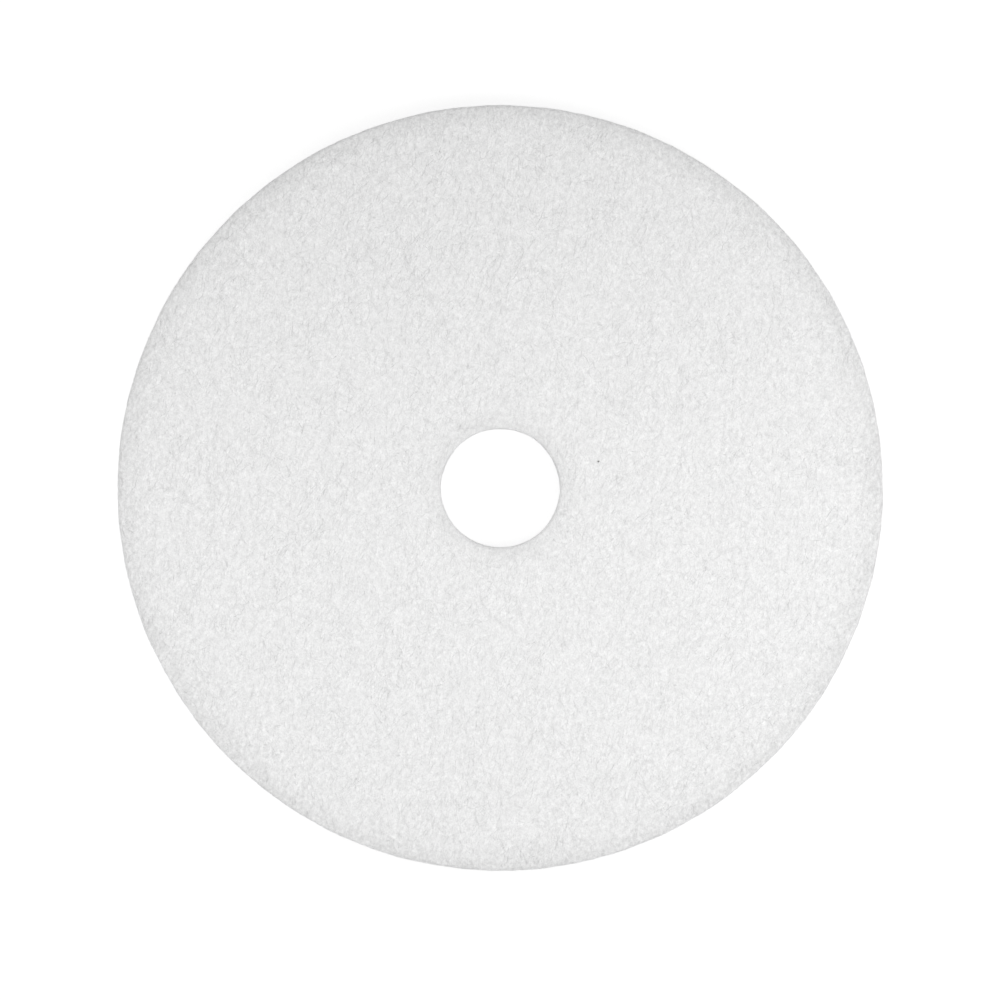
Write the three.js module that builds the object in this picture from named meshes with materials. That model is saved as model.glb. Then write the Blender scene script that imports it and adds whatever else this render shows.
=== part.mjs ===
// A round floor polishing pad, of the kind that a rotary floor machine drives.
// It is one thick disc of white non-woven fibre with a round hole through its middle, cut with a press
// die from a lofty web. Both faces are alike, so either can be turned to the floor.
// Millimetres. +Z is up, and the pad lies on z = 0 with its axis on the Z axis.

import * as THREE from "three";

// The size that it is sold by
const PAD_DIAMETER = 533.4; // 21 inches
const HOLE_DIAMETER = 82.6; // 3 1/4 inches, to pass over the centre lock of the machine's pad driver
const THICKNESS = 25.4; // 1 inch of loft

// The press die pinches the web as it cuts, and the web springs back with softened edges
const ROLL_OFF_WIDTH = 15; // how far in from a cut wall the face starts to fall
const ROLL_OFF_DROP = 0.8; // how far the face has fallen where the corner begins
const CORNER_RADIUS = 2.6; // the rounded corner between a face and a cut wall
const WALL_HOLLOW = 0.6; // how far a cut wall is drawn in at half its height

// How finely the round forms are divided
const TURN_STEPS = 96; // around the pad
const ROLL_OFF_STEPS = 3; // along each fall of a face
const CORNER_STEPS = 3; // around each corner
const WALL_STEPS = 4; // up each wall

// One cut edge of the pad's section, from the bottom face to the top face.
// wallRadius is where the wall stands, and outward is 1 if the open air lies outside it, or -1 if inside.
// The corners touch wallRadius, so a wall is nowhere nearer to the air than its named diameter says.
function cutEdge(wallRadius, outward) {
  const rollStart = wallRadius - outward * ROLL_OFF_WIDTH;
  const cornerStart = wallRadius - outward * CORNER_RADIUS;
  const rollMiddle = (rollStart + cornerStart) / 2;
  const wallFoot = ROLL_OFF_DROP + CORNER_RADIUS;

  // A quadratic's middle point pulls the wall twice as far as the wall itself moves
  const wallPull = wallRadius - outward * 2 * WALL_HOLLOW;

  const bottomFall = new THREE.QuadraticBezierCurve(
    new THREE.Vector2(rollStart, 0),
    new THREE.Vector2(rollMiddle, 0),
    new THREE.Vector2(cornerStart, ROLL_OFF_DROP),
  );
  const bottomCorner = new THREE.EllipseCurve(
    cornerStart, wallFoot, CORNER_RADIUS, CORNER_RADIUS,
    -Math.PI / 2, outward > 0 ? 0 : -Math.PI, outward < 0, 0,
  );
  const wall = new THREE.QuadraticBezierCurve(
    new THREE.Vector2(wallRadius, wallFoot),
    new THREE.Vector2(wallPull, THICKNESS / 2),
    new THREE.Vector2(wallRadius, THICKNESS - wallFoot),
  );

  const lowerHalf = [...bottomFall.getPoints(ROLL_OFF_STEPS), ...bottomCorner.getPoints(CORNER_STEPS).slice(1)];
  const upperHalf = lowerHalf.map((p) => new THREE.Vector2(p.x, THICKNESS - p.y)).reverse();
  const wallBetween = wall.getPoints(WALL_STEPS).slice(1, -1);
  return [...lowerHalf, ...wallBetween, ...upperHalf];
}

// The section runs up the outer wall, back across the top face, down the hole's wall and closes on itself
function padSection() {
  const outerEdge = cutEdge(PAD_DIAMETER / 2, 1);
  const holeEdge = cutEdge(HOLE_DIAMETER / 2, -1).reverse();
  return [...outerEdge, ...holeEdge, outerEdge[0].clone()];
}

// The whole pad is one turned form. A lathe turns about Y, so the mesh is stood up to turn about Z.
function makePad() {
  const geometry = new THREE.LatheGeometry(padSection(), TURN_STEPS);
  geometry.rotateX(Math.PI / 2);
  const whiteFibre = new THREE.MeshStandardMaterial({ color: 0xebebeb, roughness: 0.95, metalness: 0 });
  const mesh = new THREE.Mesh(geometry, whiteFibre);
  mesh.name = "polishing_pad";
  return mesh;
}

const floorPad = new THREE.Group();
floorPad.add(makePad());

export default floorPad;
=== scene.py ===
# %% [markdown]
# # A white floor polishing pad
# The object is one thick disc of lofty white fibre with a round hole in its middle. Nothing is sewn,
# glued or moulded on it, so everything that it looks like comes from its fibres: a soft matted face,
# walls that a press die cut, and a few loose hairs.
#
# The packed model already has the right size. This lesson dresses it: first the picture's camera, light
# and floor, then the web as one closed body, then real fibres laid over it, and last a fleck of dirt.

# %% Load the packed model
import math

import bpy
import numpy as np
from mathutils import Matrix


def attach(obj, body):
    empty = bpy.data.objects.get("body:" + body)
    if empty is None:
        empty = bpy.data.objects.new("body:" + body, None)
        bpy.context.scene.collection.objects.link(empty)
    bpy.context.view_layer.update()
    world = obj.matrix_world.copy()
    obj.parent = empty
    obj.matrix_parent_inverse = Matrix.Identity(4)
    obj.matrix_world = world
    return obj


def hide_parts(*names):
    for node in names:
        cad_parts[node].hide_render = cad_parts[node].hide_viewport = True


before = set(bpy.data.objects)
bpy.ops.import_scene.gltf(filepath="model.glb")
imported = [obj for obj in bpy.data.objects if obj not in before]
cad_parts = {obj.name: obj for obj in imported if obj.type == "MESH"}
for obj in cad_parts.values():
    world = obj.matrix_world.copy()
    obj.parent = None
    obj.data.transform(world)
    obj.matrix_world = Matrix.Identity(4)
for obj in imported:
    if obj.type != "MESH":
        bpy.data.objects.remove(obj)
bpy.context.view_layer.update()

# %% [markdown]
# ## Measuring the pad
# The pad is measured off the packed model, so this file never disagrees with it. The rim and the hole are
# the furthest and the nearest corners from the axis, and the loft is the height of the upper face.
# What can't be read off so simply are the softened edges, so they are written here in the same sizes that
# the solid has: a face starts to fall some way in from a cut, and then turns over a small round corner.

# %% Measure the pad
MM = 0.001
solid_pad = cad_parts["polishing_pad"]
solid_corners = np.array([v.co for v in solid_pad.data.vertices])
from_axis = np.hypot(solid_corners[:, 0], solid_corners[:, 1])
RIM = float(from_axis.max())
HOLE = float(from_axis.min())
LOFT = float(solid_corners[:, 2].max())

ROLL_OFF_WIDTH = 15 * MM
ROLL_OFF_DROP = 0.8 * MM
CORNER_RADIUS = 2.6 * MM
WALL_HOLLOW = 0.6 * MM
WALL_FOOT = ROLL_OFF_DROP + CORNER_RADIUS
print(f"rim {RIM / MM:.1f} mm, hole {HOLE / MM:.1f} mm, loft {LOFT / MM:.1f} mm")

# %% [markdown]
# ## The camera
# The photograph looks straight down on the face, through a long lens, so the pad is a true circle and its
# cut walls hardly show. A camera in Blender looks down its own -Z axis, so one that isn't turned at all
# already looks straight down, with +Y up in the picture. It stands as high as makes the rim as many pixels
# wide as it is in the photograph, and a little off the axis, because the pad isn't quite in the middle.

# %% Place the camera
PICTURE_SIDE = 1000  # pixels
RIM_IN_PICTURE = 383.0  # pixels from the pad's middle to its rim
MIDDLE_ACROSS = 500.3  # pixels from the left edge
MIDDLE_DOWN = 488.0  # pixels from the top edge
LENS_LENGTH = 300  # millimetres
SENSOR_WIDTH = 36  # millimetres

pixel = RIM / RIM_IN_PICTURE
widest_level = LOFT - WALL_FOOT
camera_data = bpy.data.cameras.new("camera")
camera_data.lens = LENS_LENGTH
camera_data.sensor_width = SENSOR_WIDTH
camera_data.clip_end = 100
camera = bpy.data.objects.new("camera", camera_data)
camera.location = (
    (PICTURE_SIDE / 2 - MIDDLE_ACROSS) * pixel,
    (MIDDLE_DOWN - PICTURE_SIDE / 2) * pixel,
    widest_level + PICTURE_SIDE * pixel * LENS_LENGTH / SENSOR_WIDTH,
)
bpy.context.scene.collection.objects.link(camera)
bpy.context.scene.camera = camera
print(f"camera {camera.location.z:.2f} m up, one pixel is {pixel / MM:.3f} mm")

# %% [markdown]
# ## The light
# In the photograph the face is brightest at its right and lower right, and the top of the rim is the
# darkest part. So the lamps stood to the left and the right, a little below the middle, and the one on the
# right was stronger. Two soft boxes copy that, and a pale world fills the shadows, as a white studio does.
# Together they light a flat white card to plain white, so every colour comes out as it is written.

# %% Light the pad
SOFT_BOX_SIDE = 0.45  # metres


def soft_box(name, place, watts):
    """A square lamp that faces the middle of the pad and isn't seen itself."""
    lamp = bpy.data.lights.new(name, "AREA")
    lamp.size = SOFT_BOX_SIDE
    lamp.energy = watts
    box = bpy.data.objects.new(name, lamp)
    box.location = place
    box.rotation_euler = box.location.to_track_quat("Z", "Y").to_euler()
    box.visible_camera = False
    bpy.context.scene.collection.objects.link(box)


soft_box("soft_box_right", place=(0.52, -0.13, 0.77), watts=2.85)
soft_box("soft_box_left", place=(-0.42, -0.14, 0.68), watts=1.45)

WORLD_LIGHT = 0.6
world = bpy.data.worlds.new("pale_studio")
bpy.context.scene.world = world
world.use_nodes = True
sky = world.node_tree.nodes["Background"]
sky.inputs["Color"].default_value = (1, 1, 1, 1)
ray = world.node_tree.nodes.new("ShaderNodeLightPath")
seen_white = world.node_tree.nodes.new("ShaderNodeMapRange")
seen_white.inputs["To Min"].default_value = WORLD_LIGHT
world.node_tree.links.new(ray.outputs["Is Camera Ray"], seen_white.inputs["Value"])
world.node_tree.links.new(seen_white.outputs["Result"], sky.inputs["Strength"])
bpy.context.scene.view_settings.view_transform = "Standard"
print("two soft boxes, and a world of strength", WORLD_LIGHT)

# %% [markdown]
# ## The floor
# The photograph's background is plain white. A floor that is only lit comes out grey where less light
# reaches it, so this one also glows a little for the camera. The glow and the light together are just
# white, so the pad's soft shadow still darkens it. Further off the glow takes over, and the floor has
# no visible end.

# %% Lay the floor
FLOOR_SIDE = 40  # metres
FLOOR_GAP = 0.2 * MM  # keeps the floor clear of the pad's underside

floor_mesh = bpy.data.meshes.new("floor")
half = FLOOR_SIDE / 2
floor_corners = [(x * half, y * half, -FLOOR_GAP) for x, y in ((-1, -1), (1, -1), (1, 1), (-1, 1))]
floor_mesh.from_pydata(floor_corners, [], [(0, 1, 2, 3)])
floor = bpy.data.objects.new("floor", floor_mesh)
bpy.context.scene.collection.objects.link(floor)
print("floor of", FLOOR_SIDE, "m")

# %% [markdown]
# ## A short hand for finishes
# Every finish here is a set of shader nodes. They could be placed by hand in the shader editor, but a list
# of calls can be read, changed and run again. So a small helper adds a node, sets it and links it in one
# line. Two more write the commonest kinds: a sum, and a value that is mapped to run between two others.


# %% Make the short hand
class Nodes:
    """Wires shader nodes: every call adds a node and links what it is given."""

    def __init__(self, material):
        material.use_nodes = True
        self.tree = material.node_tree
        self.tree.nodes.clear()

    def add(self, kind, _settings=None, **inputs):
        node = self.tree.nodes.new("ShaderNode" + kind)
        for key, value in (_settings or {}).items():
            setattr(node, key, value)
        for key, value in inputs.items():
            name = key.replace("_", " ")
            numbered = name.startswith("in") and name[2:].isdigit()
            socket = node.inputs[int(name[2:])] if numbered else node.inputs[name]
            if isinstance(value, bpy.types.NodeSocket):
                self.tree.links.new(value, socket)
            else:
                socket.default_value = value
        return node

    def math(self, operation, *values):
        """The result of a sum."""
        inputs = {f"in{number}": value for number, value in enumerate(values)}
        return self.add("Math", {"operation": operation}, **inputs).outputs[0]

    def between(self, value, low, high, start=0.0, end=1.0, **settings):
        """A value that runs from start to end, mapped to run from low to high."""
        ends = {"From_Min": start, "From_Max": end, "To_Min": low, "To_Max": high}
        return self.add("MapRange", settings, Value=value, **ends).outputs["Result"]


print("short hand with", len([name for name in vars(Nodes) if not name.startswith("_")]), "calls")

# %% [markdown]
# ## The finish of the floor
# The floor is plain matt paper. The camera sees a darker paper under an even glow, and where nothing shades
# it the two come to white. The pad is lit by the pale floor alone, without the glow. Both could be one
# plain colour, but then the floor would be grey or the shadow would be lost. A slight mottle keeps the
# paper from being one flat colour.

# %% Finish the floor
FLOOR_COLOUR = 0.80
FLOOR_COLOUR_SEEN = 0.32  # what the camera sees of it, under the glow
FLOOR_GLOW = 0.78
SHADOW_REACH = (0.5, 1.1)  # metres from the axis over which the lit floor turns into plain white
MOTTLE = (0.99, 1.01)

floor_paint = bpy.data.materials.new("floor_paint")
n = Nodes(floor_paint)
ray = n.add("LightPath").outputs
camera_or_glossy = n.math("MAXIMUM", ray["Is Camera Ray"], ray["Is Glossy Ray"])
seen = n.math("MAXIMUM", camera_or_glossy, ray["Is Transmission Ray"])
place = n.add("TexCoord").outputs["Object"]
away = n.add("VectorMath", {"operation": "LENGTH"}, in0=place).outputs["Value"]
plain_seen = n.math("MULTIPLY", n.between(away, 0.0, 1.0, *SHADOW_REACH), seen)
mottle = n.add("TexNoise", None, Vector=place, Scale=40.0, Detail=3.0).outputs["Fac"]
shade = n.math("MULTIPLY", n.between(seen, FLOOR_COLOUR, FLOOR_COLOUR_SEEN), n.between(mottle, *MOTTLE))
matt = n.add("BsdfDiffuse", None, Color=shade).outputs[0]
no_glow = n.add("Emission", None, Color=(1, 1, 1, 1), Strength=0.0).outputs[0]
glow = n.add("Emission", None, Color=(1, 1, 1, 1), Strength=FLOOR_GLOW).outputs[0]
white = n.add("Emission", None, Color=(1, 1, 1, 1), Strength=1.0).outputs[0]
seen_glow = n.add("MixShader", None, Fac=seen, in1=no_glow, in2=glow).outputs[0]
near = n.add("AddShader", None, in0=matt, in1=seen_glow).outputs[0]
both = n.add("MixShader", None, Fac=plain_seen, in1=near, in2=white).outputs[0]
n.add("OutputMaterial", None, Surface=both)
floor.data.materials.append(floor_paint)
print("floor paint with", len(floor_paint.node_tree.nodes), "nodes")

# %% [markdown]
# ## How the web varies
# A non-woven web is never even. Air lays the fibres in drifts that mostly run one way, and each drift is a
# little higher and denser than its neighbours. In the photograph they run almost up the picture, leaning
# right at the top. Clouds like these could be drawn with Blender's noise, but then the shape and
# the colour would each need their own copy. Here numpy smooths seeded random numbers into a field, longer
# along the drift than across it, and the same field shapes the web, colours it and lifts its fibres. In
# the colour its low, thin places are greyer, partly the web's own tone and partly painted shade in the hollows.

# %% Make the drifts of the web
GRAIN = math.radians(76)  # the way that most fibres run, from +X towards +Y
FIELD_STEP = 0.5 * MM


def drift_field(rng, wide, high, along, across, lean):
    """Random lumps of unit spread over a sheet that joins up at its edges."""
    columns = round(wide / FIELD_STEP)
    rows = round(high / FIELD_STEP)
    across_waves = np.fft.rfftfreq(columns, wide / columns)[None, :]
    up_waves = np.fft.fftfreq(rows, high / rows)[:, None]
    on_grain = across_waves * math.cos(lean) + up_waves * math.sin(lean)
    off_grain = up_waves * math.cos(lean) - across_waves * math.sin(lean)
    keep = np.exp(-2 * math.pi**2 * ((on_grain * along) ** 2 + (off_grain * across) ** 2))
    smooth = np.fft.irfft2(np.fft.rfft2(rng.standard_normal((rows, columns))) * keep, (rows, columns))
    smooth -= smooth.mean()
    return smooth / smooth.std()


def read_field(field, wide, high, x, y):
    """The field's value at each place, blended from the four nearest."""
    rows, columns = field.shape
    across = np.mod(x / wide, 1) * columns
    up = np.mod(y / high, 1) * rows
    left = across.astype(int)
    low = up.astype(int)
    right_share = across - left
    up_share = up - low
    left, low = left % columns, low % rows
    right, top = (left + 1) % columns, (low + 1) % rows
    lower = field[low, left] * (1 - right_share) + field[low, right] * right_share
    upper = field[top, left] * (1 - right_share) + field[top, right] * right_share
    return lower * (1 - up_share) + upper * up_share


FACE_SHEET = 600 * MM
DRIFTS = [  # how long, how wide and how strong
    (14 * MM, 7 * MM, 0.35),
    (6.5 * MM, 4.0 * MM, 0.50),
    (3.2 * MM, 2.5 * MM, 0.80),
]


def drifts(seed, wide, high, lean):
    """All sizes of drift together, of about unit spread."""
    rng = np.random.default_rng(seed)
    total = 0
    for along, across, share in DRIFTS:
        total = total + share * drift_field(rng, wide, high, along, across, lean)
    return total / total.std()


upper_drifts = drifts(11, FACE_SHEET, FACE_SHEET, GRAIN)
lower_drifts = drifts(12, FACE_SHEET, FACE_SHEET, GRAIN)

# A cut wall shows the web from its side, where the drifts are thin flat layers
WALL_SHEET = (240 * MM, 30 * MM)
WALL_LAYERS = (7 * MM, 1.0 * MM)
wall_drifts = drift_field(np.random.default_rng(13), *WALL_SHEET, *WALL_LAYERS, 0.0)
print("drift fields", upper_drifts.shape, lower_drifts.shape, wall_drifts.shape)

# %% [markdown]
# ## The section
# Cut through the pad and look at one side: a flat face, a slow fall towards the cut, a small
# round corner, and a wall that is drawn in at half its height, because the die pinched the web. The same
# section is used at the rim and at the hole, above and below, so it is written once as two small rules:
# how far a face has fallen near a cut, and how far a wall is drawn in at a height.

# %% Describe the section
def face_fall(inward):
    """How far a face lies below its flat part, at some distance in from a cut wall."""
    roll = np.clip((ROLL_OFF_WIDTH - inward) / (ROLL_OFF_WIDTH - CORNER_RADIUS), 0, 1)
    over = np.clip(CORNER_RADIUS - inward, 0, CORNER_RADIUS)
    return ROLL_OFF_DROP * roll**2 + CORNER_RADIUS - np.sqrt(CORNER_RADIUS**2 - over**2)


def wall_draw(height):
    """How far a cut wall is drawn into the web at a height above the floor."""
    share = np.clip((height - WALL_FOOT) / (LOFT - 2 * WALL_FOOT), 0, 1)
    return 4 * WALL_HOLLOW * share * (1 - share)


WEB_DEPTH = 0.30 * MM  # the close web lies this far under the outermost fibres
DRIFT_RISE = 0.13 * MM


def upper_height(x, y):
    """The level of the upper face at a place, with its drifts."""
    out = np.hypot(x, y)
    fall = face_fall(np.minimum(RIM - out, out - HOLE))
    return LOFT - fall - WEB_DEPTH + DRIFT_RISE * read_field(upper_drifts, FACE_SHEET, FACE_SHEET, x, y)


print(f"falls {face_fall(CORNER_RADIUS) / MM:.2f} mm before the corner")

# %% [markdown]
# ## The web's body
# One closed mesh holds the web's shape. It could be a lathe, but then its faces would be long and thin near
# the hole and coarse at the rim, and drifts would show on some of it only. So it is made of rings, and each
# ring has as many points as its length needs.

# %% Lay out the rings
FACE_STEP = 2.1 * MM
UNDERSIDE_STEP = 3.9 * MM
WALL_STEP = 1.7 * MM
CORNER_STEPS = 4


def corner_arc(middle_radius, middle_height, outward, upward):
    """The points round one corner of the section, from the wall to the face."""
    turn = np.linspace(0, math.pi / 2, CORNER_STEPS + 1)
    radius = middle_radius + outward * CORNER_RADIUS * np.cos(turn)
    height = middle_height + upward * CORNER_RADIUS * np.sin(turn)
    return list(zip(radius, height))


def wall_points(radius, outward):
    """The points up one cut wall, between its corners."""
    heights = np.linspace(WALL_FOOT, LOFT - WALL_FOOT, round((LOFT - 2 * WALL_FOOT) / WALL_STEP) + 1)[1:-1]
    return [(radius - outward * wall_draw(h), h) for h in heights]


def face_points(step, upward):
    """The points across one face, from the rim's corner to the hole's."""
    first, last = RIM - CORNER_RADIUS, HOLE + CORNER_RADIUS
    radii = np.linspace(first, last, round((first - last) / step) + 1)[1:-1]
    fall = face_fall(np.minimum(RIM - radii, radii - HOLE))
    return [(r, LOFT - f if upward > 0 else f) for r, f in zip(radii, fall)]


section = (
    corner_arc(RIM - CORNER_RADIUS, LOFT - WALL_FOOT, 1, 1)
    + face_points(FACE_STEP, 1)
    + corner_arc(HOLE + CORNER_RADIUS, LOFT - WALL_FOOT, -1, 1)[::-1]
    + wall_points(HOLE, -1)[::-1]
    + corner_arc(HOLE + CORNER_RADIUS, WALL_FOOT, -1, -1)
    + face_points(UNDERSIDE_STEP, -1)[::-1]
    + corner_arc(RIM - CORNER_RADIUS, WALL_FOOT, 1, -1)[::-1]
    + wall_points(RIM, 1)
)
section = np.array(section)
print(len(section), "rings")


# %% Put points on the rings
CLOSEST = 1.2 * MM  # about how near two points of one ring may stand
FEWEST = 12
WANDER = 0.18  # how far a point strays along its ring, in steps, so that the points make no pattern


def ring_counts(section):
    """How many points each ring gets, so that they stand about as far apart as the rings do."""
    gaps = np.linalg.norm(section - np.roll(section, 1, axis=0), axis=1)
    spacing = np.maximum((gaps + np.roll(gaps, -1)) / 2, CLOSEST)
    return np.maximum(np.round(2 * math.pi * section[:, 0] / spacing), FEWEST).astype(int)


def section_normals(section):
    """The outward direction at each point of the section."""
    along = np.roll(section, -1, axis=0) - np.roll(section, 1, axis=0)
    normal = np.stack([along[:, 1], -along[:, 0]], axis=1)
    return normal / np.linalg.norm(normal, axis=1)[:, None]


counts = ring_counts(section)
starts = np.concatenate([[0], np.cumsum(counts)])
ring_of = np.repeat(np.arange(len(section)), counts)
step_of = np.arange(starts[-1]) - starts[ring_of]
rng = np.random.default_rng(21)
wander = rng.uniform(-WANDER, WANDER, len(ring_of))
turn = (step_of + wander + 0.5 * (ring_of % 2)) / counts[ring_of] * 2 * math.pi
radius = section[ring_of, 0]
height = section[ring_of, 1]
normal = section_normals(section)[ring_of]
print(len(turn), "points, at most", counts.max(), "on a ring")

# %% [markdown]
# ## The relief
# On the real pad the drifts can be felt as low bumps. A displace modifier could raise them from a texture,
# but here numpy pushes the points before the mesh is made, so the mesh is final at once. A face takes its
# drifts, a wall takes its thin layers, and round a corner one fades into the other. The whole body is also
# drawn in a little, which leaves room for the fibres that lie on it.

# %% Raise the drifts on the body
WALL_RISE = 0.19 * MM
LOWEST = 0.05 * MM  # no part of the body comes nearer than this to the floor's level


def wall_relief(turn, radius, height):
    """The relief of a cut wall. The sheet goes round a whole number of times, so it has no seam."""
    times = np.maximum(np.round(2 * math.pi * radius / WALL_SHEET[0]), 1)
    return read_field(wall_drifts, *WALL_SHEET, turn / (2 * math.pi) * times * WALL_SHEET[0], height)


x = radius * np.cos(turn)
y = radius * np.sin(turn)
face_relief = np.where(
    height > LOFT / 2,
    read_field(upper_drifts, FACE_SHEET, FACE_SHEET, x, y),
    read_field(lower_drifts, FACE_SHEET, FACE_SHEET, x, y),
)
facing = np.abs(normal[:, 1])
relief = facing * face_relief + (1 - facing) * wall_relief(turn, radius, height)
rise = facing * DRIFT_RISE + (1 - facing) * WALL_RISE
push = rise * relief - WEB_DEPTH
radius = radius + push * normal[:, 0]
height = np.maximum(height + push * normal[:, 1], LOWEST)
body_points = np.stack([radius * np.cos(turn), radius * np.sin(turn), height], axis=1)
print(f"relief from {push.min() / MM:.2f} to {push.max() / MM:.2f} mm")

# %% [markdown]
# ## The skin
# Two neighbouring rings have different numbers of points, so they can't be bridged edge by edge. They are
# joined like the teeth of a zip: every edge of one ring gets a triangle to the point of the other ring that
# is level with it, and the other way round. That leaves no gap and no face with more than three corners.


# %% Join the rings
def join_rings(a, b):
    """Triangles between two rings. Each edge of one ring meets the point of the other that is level with it."""
    first_a, count_a, first_b, count_b = starts[a], counts[a], starts[b], counts[b]
    middle_a = (np.arange(count_a) + 0.5 + 0.5 * (a % 2)) / count_a
    middle_b = (np.arange(count_b) + 0.5 + 0.5 * (b % 2)) / count_b
    level_b = np.searchsorted(middle_b, middle_a, side="left")
    level_a = np.searchsorted(middle_a, middle_b, side="right")
    i = np.arange(count_a)
    j = np.arange(count_b)
    on_a = np.stack([first_a + i, first_a + (i + 1) % count_a, first_b + level_b % count_b], axis=1)
    on_b = np.stack([first_b + (j + 1) % count_b, first_b + j, first_a + level_a % count_a], axis=1)
    return np.concatenate([on_a, on_b])


bands = [join_rings(k, (k + 1) % len(section)) for k in range(len(section))]
band_of = np.repeat(np.arange(len(bands)), [len(band) for band in bands])
body_faces = np.concatenate(bands)
corners = body_points[body_faces]
volume = np.einsum("ij,ij->i", corners[:, 0], np.cross(corners[:, 1], corners[:, 2])).sum() / 6
if volume < 0:
    body_faces = body_faces[:, ::-1]
print(len(body_faces), "triangles, holding", round(abs(volume) * 1e6), "cubic centimetres")

# %% [markdown]
# ## From arrays to a mesh
# The body and its fibres are arrays of points and triangles. Blender can take them as Python lists, but a
# million triangles are slow that way, so whole arrays are handed over. Each point can also carry numbers
# of its own, which a finish reads.


# %% Make the mesh helpers
def build_mesh(name, points, faces):
    """A new smooth object from arrays of points and triangles."""
    mesh = bpy.data.meshes.new(name)
    mesh.vertices.add(len(points))
    mesh.vertices.foreach_set("co", points.astype(np.float32).ravel())
    mesh.loops.add(faces.size)
    mesh.loops.foreach_set("vertex_index", faces.astype(np.int32).ravel())
    mesh.polygons.add(len(faces))
    mesh.polygons.foreach_set("loop_start", np.arange(len(faces), dtype=np.int32) * faces.shape[1])
    mesh.polygons.foreach_set("use_smooth", np.full(len(faces), True))
    mesh.update(calc_edges=True)
    mesh.validate()
    thing = bpy.data.objects.new(name, mesh)
    bpy.context.scene.collection.objects.link(thing)
    return thing


def write_values(thing, name, values):
    """Keeps one number for each point of the mesh, for the material to read."""
    attribute = thing.data.attributes.new(name, "FLOAT", "POINT")
    attribute.data.foreach_set("value", values.astype(np.float32))


print("helpers for meshes and their values")

# %% [markdown]
# ## What the web carries
# The finish has to know how dense a drift is, how near a cut it lies, and how loose the web is there. That
# could be painted on by hand, but it all follows from the shape, so it is worked out. Near a cut the
# photograph shows the web darker, and near the rim its grain is stronger. That darkening is painted shade,
# darker colour for the light that leaks out through the cut walls. Down the walls, which it doesn't show,
# the web is painted paler again, a painted glow, because light that went in at the face leaves it there.

# %% Mark the cuts
# The cut edges get painted shade, and the walls below them a painted glow, for light that leaks out through the
# cuts.
RIM_SHADE_REACH = 7.5 * MM
HOLE_SHADE_REACH = 5 * MM
HOLE_SHADE = 0.95  # next to the rim's
SHADE_ENDS = 1.5 * MM  # how far down the corner the web is pale again
WALL_GLOW = 0.35  # how much paler a wall is than a face, next to how much darker the rim's edge is
LOOSE_REACH = 20 * MM  # how far in from the rim the die has loosened the web


def cut_edge(points):
    """Painted shade and glow: 1 at the rim's edge, falling to 0 inside the web, and to less than 0 down the
    corner, where the wall is painted paler.
    """
    out = np.hypot(points[:, 0], points[:, 1])
    rim = np.exp(-np.maximum(RIM - out, 0) / RIM_SHADE_REACH)
    hole = HOLE_SHADE * np.exp(-np.maximum(out - HOLE, 0) / HOLE_SHADE_REACH)
    down = np.clip((np.minimum(points[:, 2], LOFT - points[:, 2]) - ROLL_OFF_DROP) / SHADE_ENDS, 0, 1)
    return np.maximum(rim, hole) * (1 - down) - WALL_GLOW * down


def looseness(points):
    """1 at the rim, falling slowly to 0 inside the web, where the die hasn't disturbed it."""
    return np.exp(-np.maximum(RIM - np.hypot(points[:, 0], points[:, 1]), 0) / LOOSE_REACH)


print(f"the rim's shade reaches {RIM_SHADE_REACH / MM} mm in, and its looseness {LOOSE_REACH / MM} mm")

# %% [markdown]
# ## A map of the body
# When the model is exported, its finish is baked into a picture, and a flat map of the mesh says where each
# face lies in it. Blender can unfold a mesh by itself, but then the map falls into scraps. This body is
# simple, so its map is drawn by rule: the upper face is a large disc, the underside a smaller one, because
# it is seen less, and the walls are unrolled into strips.

# %% Draw the map of the body
TOP_DISC = ((0.35, 0.65), 0.345)  # its middle and its radius on the map
UNDER_DISC = ((0.775, 0.225), 0.22)
STRIP_START = (0.03, 0.02)
STRIP_LENGTH = 0.48
STRIP_ROWS = 0.058  # from one strip to the next
RIM_STRIPS = 4


def disc_map(points, disc):
    """A face lies flat on the map."""
    (across, up), size = disc
    return np.stack([across + points[..., 0] / RIM * size, up + points[..., 1] / RIM * size], axis=-1)


def strip_map(points, radius, strips, first_row):
    """A wall is unrolled, and cut into strips of equal length that lie one over the other."""
    turn = np.arctan2(points[..., 1], points[..., 0]) / (2 * math.pi) % 1
    first = turn[:, :1]
    turn = first + (turn - first + 0.5) % 1 - 0.5  # keeps a face's corners together
    middle = turn.mean(axis=1, keepdims=True)
    strip = np.minimum(middle % 1 * strips, strips - 0.001).astype(int)
    metre = STRIP_LENGTH / (2 * math.pi * RIM / RIM_STRIPS)  # a metre of wall, on the map
    along = (turn - np.floor(middle) - strip / strips) * 2 * math.pi * radius * metre
    up = (first_row + strip) * STRIP_ROWS + points[..., 2] * metre
    return np.stack([STRIP_START[0] + along, STRIP_START[1] + up], axis=-1)


def map_body(points, faces, band_of):
    """Every corner's place on the map, in the order of the mesh's corners."""
    corners = points[faces]
    slope = section_normals(section)
    facing = ((slope + np.roll(slope, -1, axis=0)) / 2)[band_of]
    middle = (section + np.roll(section, -1, axis=0))[band_of, 0] / 2
    place = strip_map(corners, RIM, RIM_STRIPS, 0)
    in_hole = middle < (RIM + HOLE) / 2
    place[in_hole] = strip_map(corners[in_hole], HOLE, 1, RIM_STRIPS)
    place[facing[:, 1] > 0.7] = disc_map(corners[facing[:, 1] > 0.7], TOP_DISC)
    place[facing[:, 1] < -0.7] = disc_map(corners[facing[:, 1] < -0.7], UNDER_DISC)
    return place


body_map = map_body(body_points, body_faces, band_of)
print("map from", body_map.min(axis=(0, 1)).round(3), "to", body_map.max(axis=(0, 1)).round(3))

# %% Put the body in place of the solid
# The drifts' values also colour the web: low places greyer, partly own tone and partly painted shade.
WALL_CONTRAST = 2.2  # a cut wall shows its layers more plainly than a face shows its drifts

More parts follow.
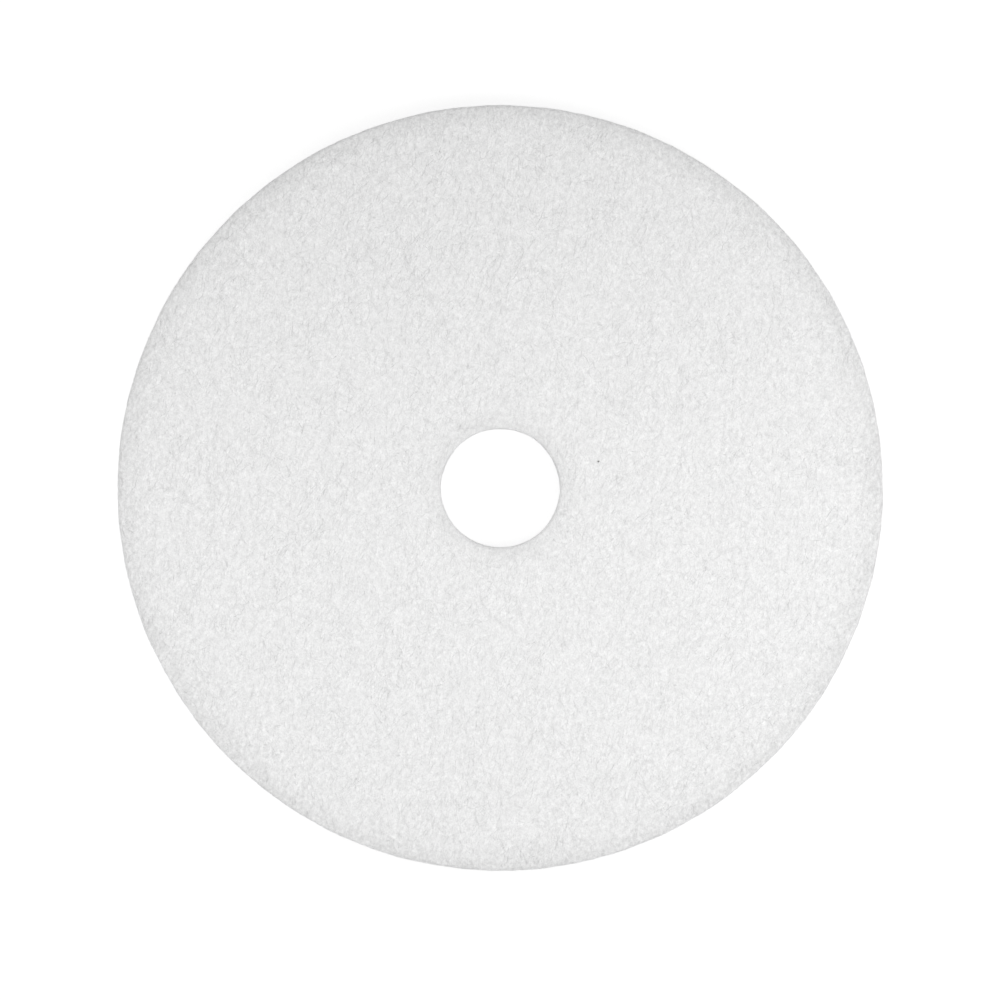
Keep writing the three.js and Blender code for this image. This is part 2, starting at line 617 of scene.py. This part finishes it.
web_body = build_mesh("web_body", body_points, body_faces)
web_body.data.uv_layers.new(name="OFBake").data.foreach_set("uv", body_map.astype(np.float32).ravel())
write_values(web_body, "density", relief * (facing + WALL_CONTRAST * (1 - facing)))
write_values(web_body, "cut_edge", cut_edge(body_points))
write_values(web_body, "looseness", looseness(body_points))
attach(web_body, "root")
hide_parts("polishing_pad")
print("web_body with", len(web_body.data.vertices), "points")

# %% [markdown]
# ## The lines of the web
# What the eye reads as fibre is a tangle of thin lines in every direction, more of them along the grain. A
# picture of felt could be laid on, but it would repeat and smear down the walls. So the lines are drawn by
# noise that fills all of space. Each layer of noise is stretched one way and turned, and its middle value
# is drawn as a thin raised line. At a cut wall the same layers show their ends, as a real cut does.

# %% Draw the lines of the web
FIBRE_STRETCH = 7
LAYER_FLATNESS = 0.6  # the web's layers are thinner than its lines are far apart
LAYER_OFFSET = 0.013  # metres, so that no two layers show the same part of the noise


def fibre_lines(n, place, degrees, pitch, width, offset):
    """One layer of thin lines that run one way. White on a line and black between them."""
    turned = n.add("Mapping", {"vector_type": "TEXTURE"}, Vector=place, Rotation=(0, 0, math.radians(degrees)),
                   Location=(offset, offset * 0.7, offset * 0.3), Scale=(FIBRE_STRETCH, 1, LAYER_FLATNESS))
    noise = n.add("TexNoise", None, Vector=turned.outputs[0], Scale=1 / pitch / 2, Detail=2.0,
                  Roughness=0.6, Distortion=0.35)
    apart = n.math("ABSOLUTE", n.math("SUBTRACT", noise.outputs["Fac"], 0.5))
    return n.between(apart, 1.0, 0.0, 0.0, width, interpolation_type="SMOOTHSTEP")


def tangle_of(n, place, turns, pitch, width, how):
    """Layers of lines put together, one for each turn."""
    total = fibre_lines(n, place, turns[0], pitch, width, 0)
    for number, degrees in enumerate(turns[1:]):
        lines = fibre_lines(n, place, degrees, pitch, width, LAYER_OFFSET * (number + 1))
        total = n.math(how, total, lines)
    return total


print("lines are", FIBRE_STRETCH, "times as long as they are far apart")

# %% [markdown]
# ## The tone of the web
# The web is white, but nowhere evenly. Thin drifts are a little greyer, partly in their own tone and partly
# as painted shade in their hollows, a fine grain runs over all of it, and here and there an open pore looks
# dark, which is painted shade. The grain is stronger where the web is loose, and the edges of the cuts are
# darker, which is painted shade too, while the walls get a painted glow. Each could be a finish of its own,
# but the body and its fibres must match, so one function mixes them all and both finishes use it.

# %% Mix the tone of the web
FIBRE_WHITE = 0.87
EDGE_SHADE = 0.84  # the tone of the web at the rim's edge, next to the rest
# Thin, low drifts are greyer: partly the web's own tone, partly painted shade in the hollows.
DRIFT_SHADES = (0.983, 1.017)
DRIFT_REACH = 2.5  # the thinnest and the densest drifts lie this far from the mean
GRAIN_SIZE = 2.4 * MM
GRAIN_STRETCH = 1.3
GRAIN_CONTRAST = 0.34
LOOSE_GAIN = 1.6  # how much stronger the grain is at the rim
# Open pores are painted as dark spots: painted shade inside holes in the web.
PORE_SPACING = 14 * MM
PORE_SIZE = 1.2 * MM  # from its middle to where it has faded out
PORE_CORE = 0.2  # the part of that which is fully dark
PAINTED_PORE_SHADE = 0.86


def carried(n, name):
    """A number that the mesh's points carry."""
    return n.add("Attribute", {"attribute_name": name}).outputs["Fac"]


def web_white(n, place, gain):
    """The white of the web: greyer in thin drifts, partly as painted shade, and in its fine grain, with painted
    shade in pores and near a cut edge, and a painted glow down the walls.
    """
    thin, dense = (shade * gain for shade in DRIFT_SHADES)
    # own tone and painted shade in the hollows of the drifts
    drift = n.between(carried(n, "density"), thin, dense, -DRIFT_REACH, DRIFT_REACH)
    turned = n.add("Mapping", {"vector_type": "TEXTURE"}, Vector=place, Rotation=(0, 0, GRAIN),
                   Scale=(GRAIN_STRETCH, 1, 1))
    speckle = n.add("TexNoise", None, Vector=turned.outputs[0], Scale=1 / GRAIN_SIZE, Detail=2.0,
                    Roughness=0.65)
    contrast = n.between(carried(n, "looseness"), GRAIN_CONTRAST, GRAIN_CONTRAST * LOOSE_GAIN)
    grain = n.math("MULTIPLY_ADD", n.math("SUBTRACT", speckle.outputs["Fac"], 0.5), contrast, 1.0)
    # painted shade of open pores
    cell = n.add("TexVoronoi", None, Vector=place, Scale=1 / PORE_SPACING).outputs["Distance"]
    core, end = PORE_SIZE * PORE_CORE / PORE_SPACING, PORE_SIZE / PORE_SPACING
    pore = n.between(cell, PAINTED_PORE_SHADE, 1.0, core, end, interpolation_type="SMOOTHSTEP")
    # painted shade near the cuts, and painted glow down the walls
    tone = n.between(carried(n, "cut_edge"), FIBRE_WHITE, FIBRE_WHITE * EDGE_SHADE, clamp=False)
    for part in (drift, grain, pore):
        tone = n.math("MULTIPLY", tone, part)
    return tone


print(f"white {FIBRE_WHITE}, and {FIBRE_WHITE * EDGE_SHADE:.2f} at the rim's edge")

# %% [markdown]
# ## The finish of the web
# Polyester fibre is matt with a faint sheen. Coarse lines make the tangle that stands in relief, and fine
# ones over it read as single hairs. The lines are painted paler and the gaps between them darker, as painted
# shade between the fibres. Light also goes into a real web and comes out softened. Subsurface scattering
# could copy that, but it is slow and blurs the hairs, so the painted tone above stands in for it.

# %% Mix the finish of the web
COARSE_TURNS = [76, 90, 58, 25, 140]  # degrees
COARSE_PITCH = 1.15 * MM  # between neighbouring lines of one layer
COARSE_WIDTH = 0.09  # how much of the noise's height a line takes up on each side
COARSE_GAP_SHADE = (0.965, 1.02)
FINE_TURNS = [72, 18, 118, 155]
FINE_PITCH = 0.55 * MM
FINE_WIDTH = 0.028
FINE_GAP_SHADE = (0.93, 1.08)
FULL_TANGLE = 2.5  # the tangle is at its palest and smoothest where this many lines meet
TANGLE_ROUGHNESS = (0.95, 0.7)
LINE_RISE = 0.12 * MM

web_finish = bpy.data.materials.new("white_fibre_web")
n = Nodes(web_finish)
place = n.add("TexCoord").outputs["Object"]
tangle = tangle_of(n, place, COARSE_TURNS, COARSE_PITCH, COARSE_WIDTH, "ADD")
fine = tangle_of(n, place, FINE_TURNS, FINE_PITCH, FINE_WIDTH, "MAXIMUM")
# painted shade: darker in the gaps between the lines, paler where they lie thick
coarse_shade = n.between(tangle, *COARSE_GAP_SHADE, 0.0, FULL_TANGLE)
painted_gap_shade = n.math("MULTIPLY", coarse_shade, n.between(fine, *FINE_GAP_SHADE))
colour = n.math("MULTIPLY", web_white(n, place, 1.0), painted_gap_shade)
roughness = n.between(tangle, *TANGLE_ROUGHNESS, 0.0, FULL_TANGLE)
bump = n.add("Bump", None, Height=n.math("ADD", tangle, fine), Strength=0.5, Distance=LINE_RISE)
shader = n.add("BsdfPrincipled", None, Base_Color=colour, Roughness=roughness, Normal=bump.outputs["Normal"])
shader.inputs["Sheen Weight"].default_value = 0.15
shader.inputs["Sheen Roughness"].default_value = 0.6
shader.inputs["Specular IOR Level"].default_value = 0.25
n.add("OutputMaterial", None, Surface=shader.outputs[0])
web_body.data.materials.append(web_finish)
print("web finish with", len(COARSE_TURNS) + len(FINE_TURNS), "layers of lines")

# %% [markdown]
# ## Real fibres
# Bump alone looks flat from the side, and the exported model would lose it. So thousands of real fibres lie
# over the body. Blender's hair could grow them, but hair isn't a mesh, and each of these must be a
# closed thread that weaves in and out of the web. So numpy draws all their paths at once. A fibre starts
# somewhere, heads one way, and its heading swings from side to side: that is its crimp. Then a
# three-sided thread is run along each path. Three sides with smooth shading look round at this size.

# %% Draw crimped paths
CRIMP = 0.30  # radians that a fibre's heading swings to each side
CRIMP_LENGTH = 11 * MM
FIBRE_BEND = 18.0  # radians for each metre that a fibre also turns one way


def crimped_paths(rng, count, steps, length, heading):
    """Flat paths about the origin, as arrays of x and y with a row for each fibre."""
    lengths = rng.uniform(0.7, 1.3, (count, 1)) * length
    along = np.linspace(0, 1, steps + 1)[None, :] * lengths
    wave = 2 * math.pi * along / (CRIMP_LENGTH * rng.uniform(0.7, 1.5, (count, 1)))
    swing = CRIMP * rng.uniform(0.5, 1.4, (count, 1)) * np.sin(wave + rng.uniform(0, 2 * math.pi, (count, 1)))
    curve = FIBRE_BEND * rng.standard_normal((count, 1)) * along
    way = heading[:, None] + swing + curve
    step = lengths / steps
    x = np.concatenate([np.zeros((count, 1)), np.cumsum(np.cos(way[:, :-1]) * step, axis=1)], axis=1)
    y = np.concatenate([np.zeros((count, 1)), np.cumsum(np.sin(way[:, :-1]) * step, axis=1)], axis=1)
    return x - x.mean(axis=1, keepdims=True), y - y.mean(axis=1, keepdims=True)


def weave(rng, count, steps, rise, sink):
    """How high each point of a fibre rides over the web. It waves, and both ends go under."""
    along = np.linspace(0, 1, steps + 1)[None, :]
    waves = rng.uniform(1.0, 2.6, (count, 1))
    wave = np.sin(2 * math.pi * (waves * along + rng.uniform(0, 1, (count, 1))))
    ends = np.clip(np.abs(2 * along - 1) * 3 - 2, 0, 1) ** 2
    return rise * (0.5 + 0.5 * wave) * (1 - ends) - sink * ends


print(f"a heading swings {math.degrees(CRIMP):.0f} degrees each way, about every {CRIMP_LENGTH / MM:.0f} mm")

# %% Run threads along the paths
THREAD_SIDES = 3
TIP_TAPER = 0.55  # a thread's end is this thin next to the rest


def threads(paths, up, thickness):
    """Closed threads along the paths. Returns their points, and their faces as triangles."""
    count, knots, _ = paths.shape
    ahead = np.gradient(paths, axis=1)
    ahead /= np.maximum(np.linalg.norm(ahead, axis=2, keepdims=True), 1e-9)
    side = np.cross(ahead, up)
    side /= np.maximum(np.linalg.norm(side, axis=2, keepdims=True), 1e-9)
    top = np.cross(side, ahead)
    taper = np.ones(knots)
    taper[[0, -1]] = TIP_TAPER
    reach = (thickness[:, None] / 2 * taper[None, :])[:, :, None]
    around = np.radians([90, 210, 330])
    rings = [paths + reach * (top * math.sin(a) + side * math.cos(a)) for a in around]
    points = np.stack(rings, axis=2).reshape(-1, 3)

    first = np.arange(count)[:, None, None] * knots * THREAD_SIDES
    here = first + np.arange(knots - 1)[None, :, None] * THREAD_SIDES + np.arange(THREAD_SIDES)[None, None, :]
    beside = np.where(np.arange(THREAD_SIDES) == THREAD_SIDES - 1, 1 - THREAD_SIDES, 1) + here
    ahead_here, ahead_beside = here + THREAD_SIDES, beside + THREAD_SIDES
    skin = np.stack([here, ahead_here, ahead_beside, here, ahead_beside, beside], axis=3)
    tip = first[:, 0] + np.array([[0, 1, 2]])
    tail = first[:, 0] + (knots - 1) * THREAD_SIDES + np.array([[2, 1, 0]])
    return points, np.concatenate([skin.reshape(-1, 3), tip, tail])


def thread_strips(thing, count, knots):
    """A neat map with a small upright strip for each thread, where a baked colour can lie."""
    columns = math.ceil(math.sqrt(count / 3))
    rows = math.ceil(count / columns)
    vertex = np.empty(len(thing.data.loops), np.int32)
    thing.data.loops.foreach_get("vertex_index", vertex)
    thread = vertex // (knots * THREAD_SIDES)
    knot = vertex // THREAD_SIDES % knots
    side = vertex % THREAD_SIDES
    u = (thread % columns + 0.15 + 0.7 * knot / (knots - 1)) / columns
    v = (thread // columns + 0.15 + 0.7 * side / (THREAD_SIDES - 1)) / rows
    layer = thing.data.uv_layers.new(name="OFBake")
    layer.data.foreach_set("uv", np.stack([u, v], axis=1).astype(np.float32).ravel())

print("threads with", THREAD_SIDES, "sides")

# %% [markdown]
# ## The finish of a fibre
# A fibre is the same white as the web. Seen alone it is a little brighter, because nothing shades it, and no
# two are the same shade. Each fibre could have a colour of its own, but noise in the object's space does
# the same for all of them at once.

# %% Mix the finish of a fibre
# painted light: a lone fibre is painted whiter than the web because nothing shades it
FIBRE_GAIN = 1.05  # how much whiter a lone fibre is than the web
FIBRE_SHADES = (0.98, 1.02)
FIBRE_ROUGHNESS = (0.75, 0.6)
NOISE_ENDS = (0.3, 0.7)  # noise seldom leaves these

fibre_finish = bpy.data.materials.new("white_fibre_thread")
n = Nodes(fibre_finish)
place = n.add("TexCoord").outputs["Object"]
tone = n.add("TexNoise", None, Vector=place, Scale=180.0, Detail=2.0, Roughness=0.6).outputs["Fac"]
colour = n.math("MULTIPLY", web_white(n, place, FIBRE_GAIN), n.between(tone, *FIBRE_SHADES, *NOISE_ENDS))
fine = n.add("TexNoise", None, Vector=place, Scale=2500.0, Detail=1.0).outputs["Fac"]
bump = n.add("Bump", None, Height=fine, Strength=0.2, Distance=0.03 * MM)
roughness = n.between(tone, *FIBRE_ROUGHNESS, *NOISE_ENDS)
shader = n.add("BsdfPrincipled", None, Base_Color=colour, Roughness=roughness, Normal=bump.outputs["Normal"])
shader.inputs["Sheen Weight"].default_value = 0.1
shader.inputs["Specular IOR Level"].default_value = 0.3
n.add("OutputMaterial", None, Surface=shader.outputs[0])
print("fibre finish with", len(fibre_finish.node_tree.nodes), "nodes")

# %% [markdown]
# ## Fibres on the two faces
# The upper face gets three layers: fibres that follow the grain, fibres that lean off it, and fibres that
# cross it every way. The underside is seen less and gets one. A path that would run over a cut edge could be
# trimmed, but it is easier to shorten all of it until it fits, and it looks the same. Each point then takes
# its height from the web under it, so the fibres follow the drifts and the falling edges.

# %% Lay the fibres of the faces
FIBRE_THICKNESS = 0.20 * MM
FACE_FIBRE_STEPS = 8
FACE_FIBRE_LENGTH = 20 * MM
FIBRE_RISE = 0.16 * MM  # how far a fibre's highest part rides over the close web
FIBRE_SINK = 0.25 * MM  # how far its ends go under
EDGE_MARGIN = 0.9 * MM  # between any part of a fibre and a cut
START_MARGIN = 1.5 * MM  # between a fibre's middle and a cut
LOWEST_FIBRE = 0.65 * FIBRE_THICKNESS  # keeps the fibres of the underside off the floor


def scattered(rng, count):
    """Places all over a face, as many to each part of it."""
    out = np.sqrt(rng.uniform((HOLE + START_MARGIN) ** 2, (RIM - START_MARGIN) ** 2, count))
    turn = rng.uniform(0, 2 * math.pi, count)
    return out * np.cos(turn), out * np.sin(turn)


def face_paths(rng, count, heading, drift, upward):
    """Fibre paths on a face, and the drift's value at each of their points."""
    flat_x, flat_y = crimped_paths(rng, count, FACE_FIBRE_STEPS, FACE_FIBRE_LENGTH, heading)
    at_x, at_y = scattered(rng, count)
    scale = np.ones(count)
    for _ in range(12):
        out = np.hypot(at_x[:, None] + flat_x * scale[:, None], at_y[:, None] + flat_y * scale[:, None])
        over = (out.max(axis=1) > RIM - EDGE_MARGIN) | (out.min(axis=1) < HOLE + EDGE_MARGIN)
        scale[over] *= 0.75
    fits = ~over
    px = (at_x[:, None] + flat_x * scale[:, None])[fits]
    py = (at_y[:, None] + flat_y * scale[:, None])[fits]
    drifted = read_field(drift, FACE_SHEET, FACE_SHEET, px, py)
    out = np.hypot(px, py)
    fall = face_fall(np.minimum(RIM - out, out - HOLE))
    ride = weave(rng, count, FACE_FIBRE_STEPS, FIBRE_RISE, FIBRE_SINK)[fits]
    over_web = DRIFT_RISE * drifted - WEB_DEPTH + ride
    level = LOFT - fall + over_web if upward > 0 else np.maximum(fall - over_web, LOWEST_FIBRE)
    return np.stack([px, py, level], axis=2), drifted


def lay_threads(name, paths, up, drifted, rng):
    """Builds one piece of threads and gives it its finish."""
    count, knots, _ = paths.shape
    thickness = FIBRE_THICKNESS * rng.uniform(0.75, 1.25, count)
    points, faces = threads(paths, up, thickness)
    piece = build_mesh(name, points, faces)
    write_values(piece, "density", np.repeat(drifted.ravel(), THREAD_SIDES))
    write_values(piece, "cut_edge", cut_edge(points))
    write_values(piece, "looseness", looseness(points))
    thread_strips(piece, count, knots)
    piece.data.materials.append(fibre_finish)
    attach(piece, "root")
    print(name, count, "fibres,", len(faces), "triangles")
    return piece


# %% Lay the layers
UP = np.array([0.0, 0.0, 1.0])
LAYERS = [  # the name, the seed, how many, over which drifts, which side, how far the headings spread
    ("upper_fibres_on_grain", 31, 3500, upper_drifts, 1, 0.35),
    ("upper_fibres_near_grain", 34, 3500, upper_drifts, 1, 0.9),
    ("upper_fibres_off_grain", 32, 3500, upper_drifts, 1, 3.0),
    ("lower_fibres", 33, 2250, lower_drifts, -1, 0.8),
]
for name, seed, count, drift, upward, spread in LAYERS:
    rng = np.random.default_rng(seed)
    heading = GRAIN + spread * rng.standard_normal(count)
    paths, drifted = face_paths(rng, count, heading, drift, upward)
    lay_threads(name, paths, UP * upward, drifted, rng)

# %% [markdown]
# ## Fibres on the cut walls
# A cut wall shows the web from its side. Its fibres lie in thin flat layers, so on the wall they run level,
# and where the die went through them their cut ends stick out like stubble. Both kinds are drawn on an
# unrolled wall, where one way is the distance round the pad and the other is the height, and then rolled
# round the axis.

# %% Lay the level fibres of a wall
WALL_FIBRE_STEPS = 6
WALL_FIBRE_LENGTH = 11 * MM
WALL_FIBRE_LEAN = 0.16  # radians off level
WALL_START_MARGIN = 1.6 * MM  # between a fibre's middle and a face
WALL_MARGIN = 0.9 * MM  # between any part of it and a face


def roll_up(radius, outward, round_way, height, stand):
    """From places on an unrolled wall to places on the pad."""
    turn = round_way / radius
    corner = np.clip(np.maximum(WALL_FOOT - height, height - (LOFT - WALL_FOOT)), 0, CORNER_RADIUS)
    back = CORNER_RADIUS - np.sqrt(CORNER_RADIUS**2 - corner**2)
    out = radius + outward * (stand - wall_draw(height) - back)
    return np.stack([out * np.cos(turn), out * np.sin(turn), height], axis=-1)


def lay_level_fibres(name, rng, radius, outward, count):
    """The fibres that lie along one wall."""
    heading = rng.choice([0, math.pi], count) + WALL_FIBRE_LEAN * rng.standard_normal(count)
    flat_x, flat_y = crimped_paths(rng, count, WALL_FIBRE_STEPS, WALL_FIBRE_LENGTH, heading)
    round_way = rng.uniform(0, 2 * math.pi * radius, (count, 1)) + flat_x
    height = rng.uniform(WALL_START_MARGIN, LOFT - WALL_START_MARGIN, (count, 1)) + flat_y
    height = np.clip(height, WALL_MARGIN, LOFT - WALL_MARGIN)
    drifted = wall_relief(round_way / radius, radius, height)
    ride = weave(rng, count, WALL_FIBRE_STEPS, FIBRE_RISE, FIBRE_SINK)
    paths = roll_up(radius, outward, round_way, height, WALL_RISE * drifted - WEB_DEPTH + ride)
    turn = round_way / radius
    outward_way = outward * np.stack([np.cos(turn), np.sin(turn), np.zeros_like(turn)], axis=-1)
    lay_threads(name, paths, outward_way, drifted, rng)


print(f"level fibres of {WALL_FIBRE_LENGTH / MM:.0f} mm")

# %% Lay the cut ends of a wall
STUB_LENGTH = 0.75 * MM
STUB_STEPS = 2
STUB_ROOT = 0.35 * MM  # how deep in the close web a cut end starts
STUB_LEAN = (0.6, 0.35)  # round the wall and up it, next to its length
STUB_START_MARGIN = 1.2 * MM
STUB_MARGIN = 0.5 * MM


def lay_cut_ends(name, rng, radius, outward, count):
    """The stubble that stands out of one wall."""
    along = np.linspace(0, 1, STUB_STEPS + 1)[None, :]
    long = STUB_LENGTH * rng.uniform(0.5, 1.5, (count, 1))
    lean_round = rng.normal(0, STUB_LEAN[0], (count, 1)) * long * along
    lean_up = rng.normal(0, STUB_LEAN[1], (count, 1)) * long * along
    round_way = rng.uniform(0, 2 * math.pi * radius, (count, 1)) + lean_round
    height = rng.uniform(STUB_START_MARGIN, LOFT - STUB_START_MARGIN, (count, 1)) + lean_up
    height = np.clip(height, STUB_MARGIN, LOFT - STUB_MARGIN)
    paths = roll_up(radius, outward, round_way, height, -WEB_DEPTH - STUB_ROOT + long * along)
    drifted = wall_relief(round_way / radius, radius, height)
    lay_threads(name, paths, UP, drifted, rng)


print(f"cut ends of {STUB_LENGTH / MM} mm")

# %% Lay both walls
WALLS = [  # the name, the seed, the radius, which way is out, how many level fibres and cut ends
    ("rim", 41, RIM, 1, 3000, 2600),
    ("hole", 42, HOLE, -1, 460, 400),
]
for name, seed, wall_radius, outward, fibre_count, stub_count in WALLS:
    rng = np.random.default_rng(seed)
    lay_level_fibres(name + "_fibres", rng, wall_radius, outward, fibre_count)
    lay_cut_ends(name + "_cut_ends", rng, wall_radius, outward, stub_count)

# %% [markdown]
# ## A fleck of dirt
# The photograph shows one small dark fleck on the face, right of the hole. It is a grain of grit that the
# fibres hold. A painted dot would lie flat, so it is a small lump: a ball of few faces whose points are
# pushed in and out at random, sunk half into the web.

# %% Set the fleck of dirt
FLECK_ACROSS = 598  # pixels from the left edge
FLECK_DOWN = 461  # pixels from the top edge
FLECK_SIZE = 1.3 * MM
FLECK_SHAPE = [1.0, 0.8, 0.55]  # how long, wide and high it is next to its size
FLECK_SWELL = 0.22
FLECK_STAND = 0.25 * MM  # how far its middle lies over the close web

fleck_x = (FLECK_ACROSS + 0.5 - MIDDLE_ACROSS) * pixel
fleck_y = (MIDDLE_DOWN - FLECK_DOWN - 0.5) * pixel
bpy.ops.mesh.primitive_ico_sphere_add(subdivisions=3, radius=FLECK_SIZE / 2)
fleck = bpy.context.object
fleck.name = fleck.data.name = "grit_fleck"
rng = np.random.default_rng(51)
ball = np.array([v.co for v in fleck.data.vertices])
bumps = rng.standard_normal((5, 3))
bumps /= np.linalg.norm(bumps, axis=1)[:, None]
swell = 1 + FLECK_SWELL * np.sin(3 * (ball / (FLECK_SIZE / 2)) @ bumps.T).sum(axis=1) / 2
ball = ball * swell[:, None] * np.array(FLECK_SHAPE)
web_level = float(upper_height(np.array(fleck_x), np.array(fleck_y)))
ball += [fleck_x, fleck_y, web_level + FLECK_STAND]
fleck.data.vertices.foreach_set("co", ball.astype(np.float32).ravel())
fleck.data.shade_smooth()
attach(fleck, "root")
print(f"fleck at {fleck_x / MM:.1f}, {fleck_y / MM:.1f} mm")

# %% [markdown]
# ## The finish of the fleck
# Grit is dull and almost black, with a few paler grains. A speckle of noise gives it both, and a little
# relief.

# %% Finish the fleck
grit = bpy.data.materials.new("grit")
n = Nodes(grit)
place = n.add("TexCoord").outputs["Object"]
speckle = n.add("TexNoise", None, Vector=place, Scale=3000.0, Detail=3.0)
tone = n.add("ValToRGB", None, Fac=speckle.outputs["Fac"])
tone.color_ramp.elements[0].color = (0.05, 0.05, 0.05, 1)
tone.color_ramp.elements[1].color = (0.20, 0.19, 0.18, 1)
bump = n.add("Bump", None, Height=speckle.outputs["Fac"], Strength=0.4, Distance=0.05 * MM)
shader = n.add("BsdfPrincipled", None, Base_Color=tone.outputs["Color"], Roughness=0.8,
               Normal=bump.outputs["Normal"])
n.add("OutputMaterial", None, Surface=shader.outputs[0])
fleck.data.materials.append(grit)
print("grit with", len(grit.node_tree.nodes), "nodes")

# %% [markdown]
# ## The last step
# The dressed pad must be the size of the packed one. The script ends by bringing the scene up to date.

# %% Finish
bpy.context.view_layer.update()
